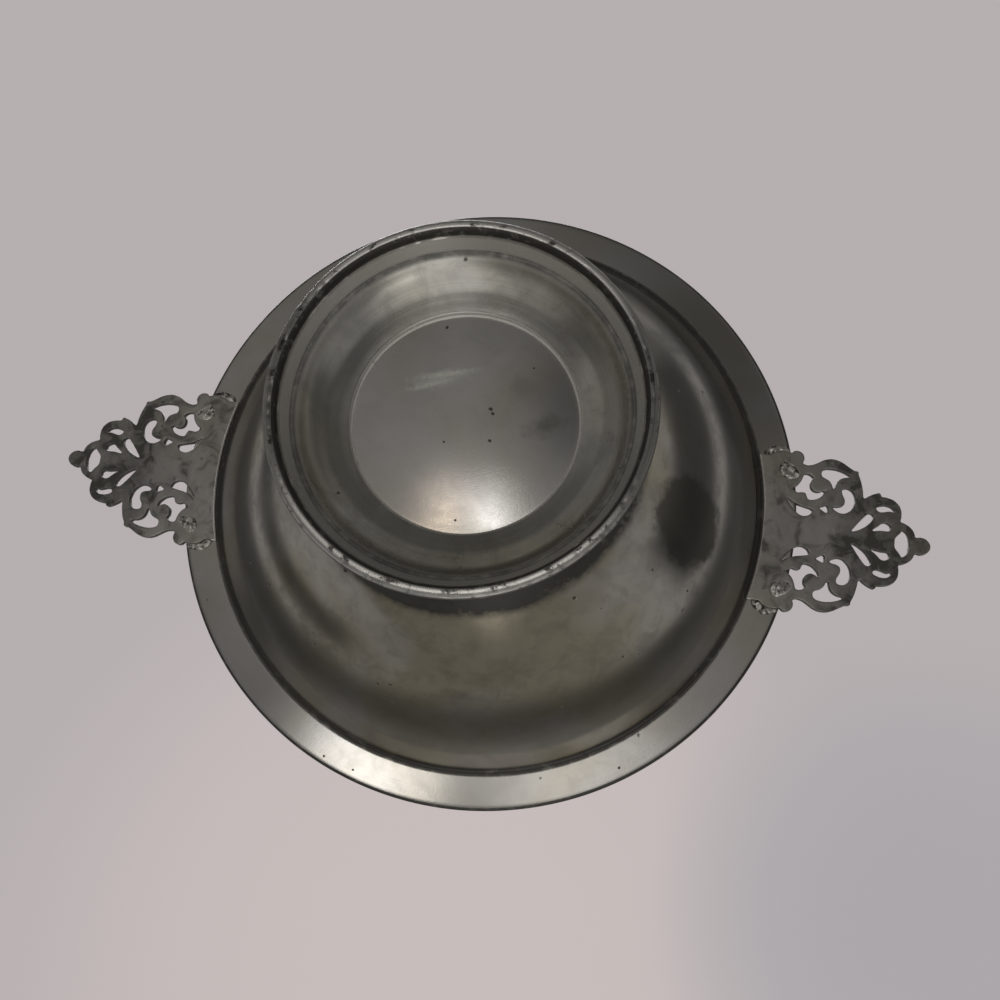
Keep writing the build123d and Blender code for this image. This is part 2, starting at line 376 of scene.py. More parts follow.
def polar(tree):      # the place on the piece, its parts, and how far it is from the bowl's axis
    spot = put(tree, "TexCoord").outputs["Object"]
    parts = put(tree, "SeparateXYZ", {0: spot}).outputs
    square = calc(tree, "ADD", times(tree, parts["X"], parts["X"]), times(tree, parts["Y"], parts["Y"]))
    return spot, parts, calc(tree, "SQRT", square)


def newGroup(name, inputs, outputs):
    tree = bpy.data.node_groups.new(name, "ShaderNodeTree")
    for label, kind, value in inputs:
        socket = tree.interface.new_socket(label, in_out="INPUT", socket_type="NodeSocket" + kind)
        socket.default_value = value
    for label, kind in outputs:
        tree.interface.new_socket(label, in_out="OUTPUT", socket_type="NodeSocket" + kind)
    return tree, put(tree, "NodeGroupInput").outputs, put(tree, "NodeGroupOutput").inputs


def use(tree, group, inputs):
    return put(tree, "Group", inputs, node_tree=group).outputs


# Shared finishes

turningLook = {"fineScale": 2600, "broadScale": 420, "broadShare": 0.4, "fadeScale": 55, "fade": (0.3, 0.7),
               "faintest": 0.2}


def makeTurningMarks(look):
    tree, given, out = newGroup("turningMarks", [("Lean", "Float", 0.8)],
                                [("Height", "Float"), ("Tone", "Float")])
    spot, parts, radius = polar(tree)
    along = timesPlus(tree, parts["Z"], given["Lean"], radius)
    fade = ramp(tree, clouds(tree, spot, look["fadeScale"], 2), *look["fade"], look["faintest"], 1.0)
    line = times(tree, stripes(tree, along, look["fineScale"], 3), fade)
    height = timesPlus(tree, stripes(tree, along, look["broadScale"], 2), look["broadShare"], line)
    tree.links.new(height, out["Height"])
    tree.links.new(calc(tree, "ADD", line, 0.5), out["Tone"])
    return tree


patinaLook = {"cloudScale": 48, "clouds": (0.4, 0.72), "blotchScale": 190, "blotches": (0.4, 0.7),
              "share": 0.7, "speckScale": 420, "specks": (0.25, 0.6, 0.6, 1.15), "tintScale": 30,
              "tints": (0.38, 0.62), "warmTint": (0.82, 0.77, 0.62), "grimeAndShadeMetal": -0.85}


def makeOldPatina(look):
    tree, given, out = newGroup(
        "oldPatina",
        [("Light", "Color", (0.4, 0.39, 0.37, 1)), ("Dark", "Color", (0.1, 0.1, 0.09, 1)),
         ("DirtAndShade", "Float", 0.0), ("Mottle", "Float", 0.5), ("Warmth", "Float", 0.5)],
        [("Colour", "Color"), ("Dull", "Float"), ("Metal", "Float")])
    spot = put(tree, "TexCoord").outputs["Object"]
    cloud = ramp(tree, clouds(tree, spot, look["cloudScale"], 5, 0.6, 0.4), *look["clouds"])
    blotch = ramp(tree, clouds(tree, spot, look["blotchScale"], 6, 0.65, 0.5), *look["blotches"])
    speck = ramp(tree, clouds(tree, spot, look["speckScale"], 3, 0.7), *look["specks"])
    tint = ramp(tree, clouds(tree, spot, look["tintScale"], 3, distortion=0.6), *look["tints"])
    veil = timesPlus(tree, blotch, look["share"], times(tree, cloud, look["share"]))
    veil = calc(tree, "MULTIPLY", veil, given["Mottle"], clamp=True)
    crustAndShade = calc(tree, "MULTIPLY", given["DirtAndShade"], speck, clamp=True)
    dull = calc(tree, "ADD", veil, crustAndShade, clamp=True)
    warmth = times(tree, tint, given["Warmth"])
    warm = blend(tree, warmth, given["Light"], opaque(look["warmTint"]), "MULTIPLY")
    tree.links.new(blend(tree, dull, warm, given["Dark"]), out["Colour"])
    tree.links.new(dull, out["Dull"])
    tree.links.new(timesPlus(tree, crustAndShade, look["grimeAndShadeMetal"], 1.0), out["Metal"])      # grime, and shade painted as grime, is no metal
    return tree


pitLook = {"bendScale": 1500, "bend": 0.6 * mm, "sizes": (0.4, 1.3), "edge": (0.4, 1.0)}


def makePitting(look):
    tree, given, out = newGroup(
        "pitting", [("Scale", "Float", 300.0), ("Density", "Float", 0.1), ("Size", "Float", 0.16)],
        [("Pits", "Float")])
    spot = put(tree, "TexCoord").outputs["Object"]
    bent = put(tree, "TexNoise", {"Vector": spot, "Scale": look["bendScale"], "Detail": 2}).outputs[1]
    bent = put(tree, "VectorMath", {0: bent, 1: (look["bend"],) * 3, 2: spot}, operation="MULTIPLY_ADD")
    cells = put(tree, "TexVoronoi", {"Vector": bent.outputs[0], "Scale": given["Scale"]})
    chance = put(tree, "SeparateColor", {0: cells.outputs["Color"]}).outputs
    size = times(tree, given["Size"], ramp(tree, chance[1], 0.0, 1.0, *look["sizes"]))
    inside = calc(tree, "DIVIDE", cells.outputs["Distance"], size)
    chosen = calc(tree, "LESS_THAN", chance[0], given["Density"])
    tree.links.new(times(tree, ramp(tree, inside, *look["edge"], 1.0, 0.0), chosen), out["Pits"])
    return tree


scratchLook = {"thin": 4200, "edge": 0.1, "patchScale": 90, "patchStep": 10, "patches": (0.48, 0.62),
               "ways": ({"turn": 0.35, "length": 190, "rarity": 0.7},
                        {"turn": 1.15, "length": 240, "rarity": 0.72},
                        {"turn": 1.9, "length": 160, "rarity": 0.7},
                        {"turn": 2.75, "length": 280, "rarity": 0.74})}


def makeHairScratches(look):
    tree, given, out = newGroup("hairScratches", [("Amount", "Float", 0.3)], [("Lines", "Float")])
    spot = put(tree, "TexCoord").outputs["Object"]
    total = None
    for way in look["ways"]:
        turned = put(tree, "VectorRotate", {"Vector": spot, "Angle": way["turn"]}, rotation_type="Z_AXIS")
        turned = turned.outputs[0]
        stretched = put(tree, "Mapping", {"Vector": turned, "Location": (way["turn"], 0, 0),
                                          "Scale": (way["length"], look["thin"], way["length"])})
        streak = clouds(tree, stretched.outputs[0], 1.0, 0.5)
        patch = clouds(tree, turned, look["patchScale"] + look["patchStep"] * way["turn"], 1)
        streak = times(tree, ramp(tree, streak, way["rarity"], way["rarity"] + look["edge"]),
                       ramp(tree, patch, *look["patches"]))
        total = streak if total is None else calc(tree, "MAXIMUM", total, streak)
    tree.links.new(times(tree, total, given["Amount"]), out["Lines"])
    return tree


turningMarks, oldPatina = makeTurningMarks(turningLook), makeOldPatina(patinaLook)
pitting, hairScratches = makePitting(pitLook), makeHairScratches(scratchLook)


def aged(tree, look, dirtAndShade, mottle, warmth):
    return use(tree, oldPatina, {"Light": opaque(look["light"]), "Dark": opaque(look["dark"]),
                                 "DirtAndShade": dirtAndShade, "Mottle": mottle, "Warmth": warmth})


def newMaterial(name):
    material = bpy.data.materials.new(name)
    material.use_nodes = True
    tree = material.node_tree
    tree.nodes.clear()
    return material, tree


# Spun metal of the bowl and the foot: places in mm

spunLook = {"hollows": (0.25, 1.0), "outward": (0.0, -0.2), "belowEdge": 0.3, "withinEdge": 0.2,
            "tones": (0.2, 0.8), "dullRough": 0.2, "pitScale": 330.0, "pitSize": 0.15, "pitShare": 0.8,
            "pitRough": 0.3, "pitColour": (0.03, 0.029, 0.025), "lineShare": 0.35, "lineDepth": -0.15,
            "lineColour": (0.55, 0.54, 0.5), "grainScale": 3000, "bump": 0.05 * mm}


def smear(tree, spot, look):      # a ragged oval: 1 in its middle and 0 outside it
    middle = (*(mm * side for side in look["at"]), 0)
    size = (*(mm * side for side in look["size"]), 1.0)
    turn = (0, 0, math.radians(look["turn"]))
    near = put(tree, "Mapping", {"Vector": spot, "Location": middle, "Rotation": turn, "Scale": size},
               vector_type="TEXTURE")
    away = put(tree, "VectorMath", {0: near.outputs[0]}, operation="LENGTH").outputs["Value"]
    ragged = clouds(tree, spot, look["grain"], 4, 0.65)
    away = timesPlus(tree, ragged, look["ragged"], calc(tree, "SUBTRACT", away, look["ragged"] / 2))
    return ramp(tree, away, look["core"], 1.0, 1.0, 0.0)


def grimeAndShade(tree, look, parts, radius, tilt):      # dark patina in corners, and dark rings by radius or by height: some dirt, some painted shadow and shade
    hollow = put(tree, "Attribute", attribute_name="hollow").outputs["Fac"]
    dirtAndShade = times(tree, ramp(tree, hollow, *spunLook["hollows"]), look["cornerDirt"])
    for ring in look["dirtAndShadeRings"]:
        value = radius if ring["by"] == "radius" else parts["Z"]
        mask = ramp(tree, value, ring["from"] * mm, ring["to"] * mm, 0.0, ring["level"])
        if "until" in ring:
            end = ramp(tree, value, ring["until"] * mm, ring["gone"] * mm, ring["level"], 0.0)
            mask = calc(tree, "MINIMUM", mask, end)
        if "below" in ring:
            top = ring["below"] + spunLook["belowEdge"]
            mask = times(tree, mask, ramp(tree, parts["Z"], top * mm, ring["below"] * mm))
        if ring.get("outside"):
            mask = times(tree, mask, ramp(tree, tilt, *spunLook["outward"]))
        dirtAndShade = calc(tree, "MAXIMUM", dirtAndShade, mask)
    return dirtAndShade


def scuffBead(tree, bead, spot, parts, clearOfDirtAndShade, colour, rough):      # worn pale from standing on tables, with stains, and painted shade at its left and right
    scuffed = ramp(tree, parts["Z"], bead["top"] * mm, (bead["top"] - bead["edge"]) * mm)
    scuffed = times(tree, scuffed, clearOfDirtAndShade)
    stain = ramp(tree, clouds(tree, spot, bead["stainScale"], 4, 0.7), *bead["stains"])
    stain = times(tree, stain, scuffed)
    colour = blend(tree, times(tree, scuffed, bead["share"]), colour, opaque(bead["light"]))
    colour = blend(tree, times(tree, stain, bead["stainShare"]), colour, opaque(bead["dark"]))
    # painted shade: the bead darker at its left and right than at front and back
    across = calc(tree, "ABSOLUTE", parts["Y"])
    ends = ramp(tree, across, bead["sidesFrom"] * mm, bead["sidesTo"] * mm, bead["sides"], 0.0)
    colour = blend(tree, times(tree, scuffed, ends), colour, opaque(bead["dark"]))
    return colour, timesPlus(tree, scuffed, bead["dull"], rough)


def rubbedAndLitShare(tree, zone, parts, radius, tilt):
    within = zone["within"] - spunLook["withinEdge"]
    return times(tree, ramp(tree, parts["Z"], zone["from"] * mm, zone["to"] * mm),
                 ramp(tree, parts["Z"], zone["until"] * mm, zone["gone"] * mm, 1.0, 0.0),
                 ramp(tree, tilt, *zone["facing"]),
                 ramp(tree, radius, zone["within"] * mm, within * mm))


def spunMetal(name, look):
    material, tree = newMaterial(name)
    spot, parts, radius = polar(tree)
    tilt = put(tree, "Attribute", attribute_name="tilt").outputs["Fac"]
    dirtAndShade = grimeAndShade(tree, look, parts, radius, tilt)
    clearOfDirtAndShade = calc(tree, "SUBTRACT", 1.0, dirtAndShade, clamp=True)
    patina = aged(tree, look, dirtAndShade, look["mottle"], look["warmth"])
    marks = use(tree, turningMarks, {"Lean": look["lean"]})
    pits = use(tree, pitting, {"Scale": spunLook["pitScale"], "Density": look["pits"],
                               "Size": spunLook["pitSize"]})["Pits"]
    lines = use(tree, hairScratches, {"Amount": look["scratches"]})["Lines"]
    shade = ramp(tree, marks["Tone"], *spunLook["tones"], 1 - look["marks"], 1 + look["marks"])
    grey = put(tree, "CombineColor", {0: shade, 1: shade, 2: shade}).outputs[0]
    colour = blend(tree, 1.0, patina["Colour"], grey, "MULTIPLY")
    rough = timesPlus(tree, patina["Dull"], spunLook["dullRough"], look["roughness"])
    for mark in look["marksAndPaintedReflections"]:
        share = times(tree, smear(tree, spot, mark), mark["level"])
        colour = blend(tree, share, colour, opaque(mark["colour"]))
        rough = timesPlus(tree, share, mark["dull"], rough)
    colour = blend(tree, times(tree, pits, spunLook["pitShare"]), colour, opaque(spunLook["pitColour"]))
    colour = blend(tree, times(tree, lines, spunLook["lineShare"]), colour, opaque(spunLook["lineColour"]))
    rough = timesPlus(tree, pits, spunLook["pitRough"], rough)
    if "bead" in look:
        colour, rough = scuffBead(tree, look["bead"], spot, parts, clearOfDirtAndShade, colour, rough)
    metal = patina["Metal"]
    for zone in look["rubbedAndLitBands"]:      # metal made pale and less metallic: rubbed wear, and painted light
        share = times(tree, rubbedAndLitShare(tree, zone, parts, radius, tilt), clearOfDirtAndShade)
        colour = blend(tree, times(tree, share, zone["level"]), colour, opaque(zone["colour"]))
        metal = timesPlus(tree, share, zone["metal"] - 1, metal, clamp=True)
    height = timesPlus(tree, marks["Height"], look["marks"], times(tree, pits, -1.0))
    height = timesPlus(tree, clouds(tree, spot, spunLook["grainScale"], 2), look["grain"], height)
    height = timesPlus(tree, lines, spunLook["lineDepth"], height)
    bump = put(tree, "Bump", {"Height": height, "Strength": 1.0, "Distance": spunLook["bump"]}).outputs[0]
    tangent = put(tree, "Tangent", direction_type="RADIAL", axis="Z").outputs[0]
    shader = put(tree, "BsdfPrincipled", {"Base Color": colour, "Metallic": metal, "Roughness": rough,
                                          "Normal": bump, "Anisotropic": look["anisotropic"],
                                          "Anisotropic Rotation": 0.25, "Tangent": tangent})
    put(tree, "OutputMaterial", {"Surface": shader.outputs[0]})
    return material


# painted shadow: a dark ring along the rim's outer edge
rimEdgeShadow = {"by": "radius", "from": 74.1, "to": 74.5, "level": 0.95}
# a darker, less metallic ring in the crease at the bend
bendDarkRing = {"by": "radius", "from": 65.3, "to": 66.0, "until": 67.1, "gone": 67.7, "level": 1.0,
            "outside": True}
# painted shadow: a dark ring on the outer wall round the foot, where the bead shades it
footShadowRing = {"by": "radius", "from": 37.4, "to": 35.0, "level": 1.0, "outside": True}
wallFinish = {
    "light": (0.42, 0.405, 0.375), "dark": (0.04, 0.037, 0.031), "roughness": 0.1, "anisotropic": 0.1,
    "lean": 0.8, "marks": 0.03, "grain": 0.03, "mottle": 0.3, "warmth": 0.9, "pits": 0.16,
    "scratches": 0.06, "cornerDirt": 0.9,
    "dirtAndShadeRings": (rimEdgeShadow, bendDarkRing, footShadowRing),
    # partly rubbed wear, partly painted light: a paler band on the outer wall below the bend
    "rubbedAndLitBands": ({"from": 50, "to": 58, "until": 63, "gone": 65, "facing": (0.0, -0.2), "within": 67.0,
                "level": 0.25, "metal": 0.8, "colour": (0.5, 0.485, 0.45)},),
    # painted reflections: two dark ovals on the right of the wall
    "marksAndPaintedReflections": ({"at": (46.6, 9.0), "size": (8.2, 11.0), "turn": 12, "grain": 190, "ragged": 0.7,
                "core": 0.72, "level": 0.8, "colour": (0.075, 0.07, 0.058), "dull": 0.1},
               {"at": (55.0, -21.0), "size": (13.0, 3.6), "turn": 66, "grain": 170, "ragged": 0.7,
                "core": 0.4, "level": 0.75, "colour": (0.07, 0.066, 0.056), "dull": 0.1})}
levelFinish = {
    "light": (0.41, 0.40, 0.385), "dark": (0.08, 0.077, 0.066), "roughness": 0.125, "anisotropic": 0.15,
    "lean": 0.8, "marks": 0.02, "grain": 0.06, "mottle": 0.12, "warmth": 0.4, "pits": 0.03,
    "scratches": 0.1, "cornerDirt": 0.95,
    "dirtAndShadeRings": (rimEdgeShadow, bendDarkRing), "rubbedAndLitBands": (),
    "marksAndPaintedReflections": [{"at": (-6.2, -8.4), "size": (8.5, 2.6), "turn": -17, "grain": 1100, "ragged": 1.6,
                "core": 0.0, "level": 0.5, "colour": (0.6, 0.61, 0.55), "dull": 0.2},
               {"at": (-4.6, -9.6), "size": (8.0, 0.9), "turn": -14, "grain": 1500, "ragged": 1.5,
                "core": 0.0, "level": 0.65, "colour": (0.66, 0.67, 0.6), "dull": 0.2},
               {"at": (-7.6, -7.0), "size": (7.0, 0.8), "turn": -21, "grain": 1500, "ragged": 1.5,
                "core": 0.0, "level": 0.55, "colour": (0.62, 0.63, 0.57), "dull": 0.2},
               {"at": (15.5, -0.8), "size": (6.5, 3.0), "turn": -12, "grain": 420, "ragged": 1.6,
                "core": 0.0, "level": 0.7, "colour": (0.14, 0.135, 0.12), "dull": 0.1},
               {"at": (10.5, -7.5), "size": (6.0, 4.0), "turn": 30, "grain": 300, "ragged": 1.5,
                "core": 0.0, "level": 0.35, "colour": (0.2, 0.19, 0.17), "dull": 0.1}]}
dotLook = {"squash": 0.8, "turn": 40, "spots": (      # black dots on the disc and the rim: x, y and reach
    (-6.2, -19.3, 0.5), (4.6, -3.1, 0.55), (5.1, -2.2, 0.5), (-3.6, 4.4, 0.35), (5.2, 3.3, 0.5),
    (12.0, -12.4, 0.3), (0.6, 19.5, 0.35), (-29.4, 66.9, 0.4), (-22.2, 69.1, 0.35), (38.4, 61.2, 0.4))}
for x, y, reach in dotLook["spots"]:
    levelFinish["marksAndPaintedReflections"].append({"at": (x, y), "size": (reach, dotLook["squash"] * reach),
                                  "turn": dotLook["turn"] * x, "grain": 1400, "ragged": 0.8, "core": 0.5,
                                  "level": 0.85, "colour": (0.03, 0.03, 0.026), "dull": 0.3})
footFinish = {
    "light": (0.55, 0.54, 0.51), "dark": (0.035, 0.033, 0.028), "roughness": 0.22, "anisotropic": 0.3,
    "lean": -0.8, "marks": 0.1, "grain": 0.16, "mottle": 0.28, "warmth": 0.4, "pits": 0.06,
    "scratches": 0.06, "cornerDirt": 1.0,
    "marksAndPaintedReflections": (),
    "bead": {"top": 2.3, "edge": 0.4, "light": (0.72, 0.71, 0.68), "dark": (0.04, 0.038, 0.033),
             "share": 0.85, "dull": 0.03, "stainScale": 330, "stains": (0.53, 0.63), "stainShare": 0.9,
             "sides": 0.76, "sidesFrom": 12, "sidesTo": 27},
    # painted highlight: a pale, hardly metallic ring on the collar round the disc
    "rubbedAndLitBands": ({"from": 11.8, "to": 12.0, "until": 20.0, "gone": 21.0, "facing": (1.0, 0.5), "within": 22.9,
                "level": 1.0, "metal": 0.3, "colour": (0.72, 0.71, 0.67)},
               # partly rubbed wear, partly painted light: the pale band between the bead and the step
               {"from": 2.2, "to": 2.8, "until": 4.8, "gone": 6.5, "facing": (0.0, -0.2), "within": 36.0,
                "level": 0.65, "metal": 0.5, "colour": (0.6, 0.59, 0.55)}),
    # a darker ring at the step
    "dirtAndShadeRings": ({"by": "height", "from": 4.4, "to": 5.0, "until": 5.2, "gone": 5.9, "level": 0.7},
                  # painted shadow in the crevice along the bead's inner side
                  {"by": "radius", "from": 34.8, "to": 34.5, "level": 1.0, "below": 2.0},
                  # painted shade on the bead's outer flank
                  {"by": "radius", "from": 35.3, "to": 35.6, "until": 35.95, "gone": 36.15, "level": 0.55,
                   "below": 2.4},
                  # painted shadow along the bead's outer edge
                  {"by": "radius", "from": 36.1, "to": 36.3, "level": 0.9})}
spunPewter = spunMetal("spunPewter", wallFinish)
levelPewter = spunMetal("levelPewter", levelFinish)
turnedPewter = spunMetal("turnedPewter", footFinish)

# Cast metal of the handles

castFinish = {"light": (0.40, 0.385, 0.365), "dark": (0.085, 0.082, 0.072), "roughness": 0.36,
              "dullRough": 0.15, "mottle": 0.35, "warmth": 0.4, "leastMetal": 0.4, "scrollsFrom": 79 * mm,
              "scrollsTo": 87 * mm, "scrollsDark": 0.68, "smudgeScale": 190,
              "smudges": (0.42, 0.7, -0.25, 0.5), "paintedSideShade": (0.12, 0.5, 0.0, 0.95), "edgeFrom": (0.03, 0.12),
              "edgeTo": (0.35, 0.18), "edgeShare": 0.2, "worn": (0.6, 0.58, 0.55), "arcEdge": 68.2 * mm,
              "arcEdgeSoft": 0.3 * mm, "arcTop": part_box("right_handle")[0].z + 0.9 * mm,
              "arcTopSoft": 0.15 * mm, "arcSlope": (0.02, 0.12), "arcRight": 0.5,
              "arcHighlightColour": (1.0, 0.98, 0.95), "pitScale": 420.0, "pits": 0.12, "pitSize": 0.16,
              "pitShare": 0.6, "pitColour": (0.03, 0.03, 0.026), "scratches": 0.8, "scratchShare": 0.5,
              "scratchDepth": -0.3, "lumpScale": 700, "lumps": 0.6, "bump": 0.05 * mm}


def paintedArcHighlight(tree, look, parts, radius, side):      # painted highlight: a near-white, unmetallic line along the edge next to the wall, fainter on the right
    inner = ramp(tree, radius, look["arcEdge"], look["arcEdge"] - look["arcEdgeSoft"])
    lower = ramp(tree, parts["Z"], look["arcTop"], look["arcTop"] - look["arcTopSoft"])
    return times(tree, inner, lower, ramp(tree, side, *look["arcSlope"]),
                 ramp(tree, parts["X"], -1 * mm, 1 * mm, 1.0, look["arcRight"]))


def castMetal(name, look):
    material, tree = newMaterial(name)
    spot, parts, radius = polar(tree)
    side = put(tree, "Attribute", attribute_name="side").outputs["Fac"]
    out = calc(tree, "ABSOLUTE", parts["X"])
    smudge = ramp(tree, clouds(tree, spot, look["smudgeScale"], 5, 0.6, 0.8), *look["smudges"])
    scrolls = ramp(tree, out, look["scrollsFrom"], look["scrollsTo"], 0.0, look["scrollsDark"])
    scrolls = calc(tree, "ADD", scrolls, smudge, clamp=True)
    arcHighlight = paintedArcHighlight(tree, look, parts, radius, side)
    # painted shade: the plate's side faces darkened
    paintedSideShade = ramp(tree, side, *look["paintedSideShade"])
    edge = times(tree, ramp(tree, side, *look["edgeFrom"]), ramp(tree, side, *look["edgeTo"]))
    dirtAndShade = calc(tree, "SUBTRACT", calc(tree, "MAXIMUM", scrolls, paintedSideShade), arcHighlight, clamp=True)
    patina = aged(tree, look, dirtAndShade, look["mottle"], look["warmth"])
    pits = use(tree, pitting, {"Scale": look["pitScale"], "Density": look["pits"],
                               "Size": look["pitSize"]})["Pits"]
    lines = use(tree, hairScratches, {"Amount": look["scratches"]})["Lines"]
    colour = blend(tree, times(tree, edge, look["edgeShare"]), patina["Colour"], opaque(look["worn"]))
    colour = blend(tree, arcHighlight, colour, opaque(look["arcHighlightColour"]))
    colour = blend(tree, times(tree, pits, look["pitShare"]), colour, opaque(look["pitColour"]))
    colour = blend(tree, times(tree, lines, look["scratchShare"]), colour, opaque(look["worn"]))
    rough = timesPlus(tree, patina["Dull"], look["dullRough"], look["roughness"])
    lumps = clouds(tree, spot, look["lumpScale"], 4)
    height = calc(tree, "SUBTRACT", times(tree, lumps, look["lumps"]), pits)
    height = timesPlus(tree, lines, look["scratchDepth"], height)
    bump = put(tree, "Bump", {"Height": height, "Strength": 1.0, "Distance": look["bump"]}).outputs[0]
    metal = calc(tree, "MAXIMUM", patina["Metal"], look["leastMetal"])
    metal = calc(tree, "SUBTRACT", metal, arcHighlight, clamp=True)
    shader = put(tree, "BsdfPrincipled", {"Base Color": colour, "Metallic": metal, "Roughness": rough,
                                          "Normal": bump})
    put(tree, "OutputMaterial", {"Surface": shader.outputs[0]})
    return material


castPewter = castMetal("castPewter", castFinish)

# Solder: lumps at the handles, and a line round the disc painted pale as a highlight

solderLook = {"blotScale": 800, "mottle": 0.2, "warmth": 0.2, "dullRough": 0.3, "grainScale": 1600,
              "bump": 0.08 * mm, "crescentReach": (10 * mm, 9 * mm)}
lumpFinish = {"light": (0.62, 0.60, 0.57), "dark": (0.06, 0.057, 0.05), "roughness": 0.3,
              "blots": (0.5, 0.6), "metal": 0.9, "crescent": (0.36, 0.345, 0.325)}
# painted highlight: the seam solder nearly white and little metallic, so it shows as a bright line
seamFinishPaintedBright = {"light": (0.85, 0.84, 0.8), "dark": (0.4, 0.39, 0.36), "roughness": 0.4, "blots": (0.6, 0.75),
              "metal": 0.25}


def softSolder(name, look):
    material, tree = newMaterial(name)
    spot = put(tree, "TexCoord").outputs["Object"]
    blots = ramp(tree, clouds(tree, spot, solderLook["blotScale"], 4, 0.7), *look["blots"])
    patina = aged(tree, look, blots, solderLook["mottle"], solderLook["warmth"])
    colour = patina["Colour"]
    if "crescent" in look:      # the solder between the ears is plain
        across = calc(tree, "ABSOLUTE", put(tree, "SeparateXYZ", {0: spot}).outputs["Y"])
        middle = ramp(tree, across, *solderLook["crescentReach"])
        colour = blend(tree, middle, colour, opaque(look["crescent"]))
    rough = timesPlus(tree, patina["Dull"], solderLook["dullRough"], look["roughness"])
    grains = clouds(tree, spot, solderLook["grainScale"], 4)
    bump = put(tree, "Bump", {"Height": grains, "Strength": 1.0, "Distance": solderLook["bump"]}).outputs[0]
    shader = put(tree, "BsdfPrincipled", {"Base Color": colour, "Metallic": look["metal"],
                                          "Roughness": rough, "Normal": bump})
    put(tree, "OutputMaterial", {"Surface": shader.outputs[0]})
    return material


lumpSolder, seamSolderPaintedBright = softSolder("lumpSolder", lumpFinish), softSolder("seamSolderPaintedBright", seamFinishPaintedBright)
dressed = ((spunBowl, (spunPewter, levelPewter)), (turnedFoot, (turnedPewter,)), (outerRing, (seamSolderPaintedBright,)),
           (innerRing, (seamSolderPaintedBright,)), (rightHandle, (castPewter,)), (leftHandle, (castPewter,)),
           (rightSolder, (lumpSolder,)), (leftSolder, (lumpSolder,)))
for piece, materials in dressed:
    finishes = [face.material_index if len(materials) > 1 else 0 for face in piece.data.polygons]
    piece.data.materials.clear()
    for material in materials:
        piece.data.materials.append(material)
    piece.data.polygons.foreach_set("material_index", finishes)
for piece in (rightHandle, leftHandle, rightSolder, leftSolder):
    piece.visible_glossy = False      # the wall's bow is a guess, and would mirror them in the wrong place; dark ovals painted on the wall stand in for those reflections
print("finishes made:", ", ".join(sorted(material.name for material in bpy.data.materials)))

# Stage

stageLook = {"floorSize": 60.0, "floorColour": (0.78, 0.74, 0.735), "fadeFrom": 0.3, "fadeTo": 1.2}

floorMesh = bpy.data.meshes.new("floor")
half = stageLook["floorSize"] / 2
floorCorners = [(-half, -half, 0), (half, -half, 0), (half, half, 0), (-half, half, 0)]
floorMesh.from_pydata(floorCorners, [], [(0, 1, 2, 3)])
floor = bpy.data.objects.new("floor", floorMesh)
bpy.context.scene.collection.objects.link(floor)
floor.visible_shadow = floor.visible_glossy = floor.visible_diffuse = floor.visible_transmission = False
material, tree = newMaterial("paleFloor")
matte = put(tree, "BsdfDiffuse", {"Color": opaque(stageLook["floorColour"])})
clear = put(tree, "BsdfTransparent")
underside = put(tree, "NewGeometry").outputs["Backfacing"]
gone = ramp(tree, polar(tree)[2], stageLook["fadeFrom"], stageLook["fadeTo"])      # fades out far away
gone = calc(tree, "MAXIMUM", underside, gone)
mixed = put(tree, "MixShader", {0: gone, 1: matte.outputs[0], 2: clear.outputs[0]})
put(tree, "OutputMaterial", {"Surface": mixed.outputs[0]})
floorMesh.materials.append(material)

# World: a pale backdrop for the camera, and for the metal a room with bands of light, shaded and lit places

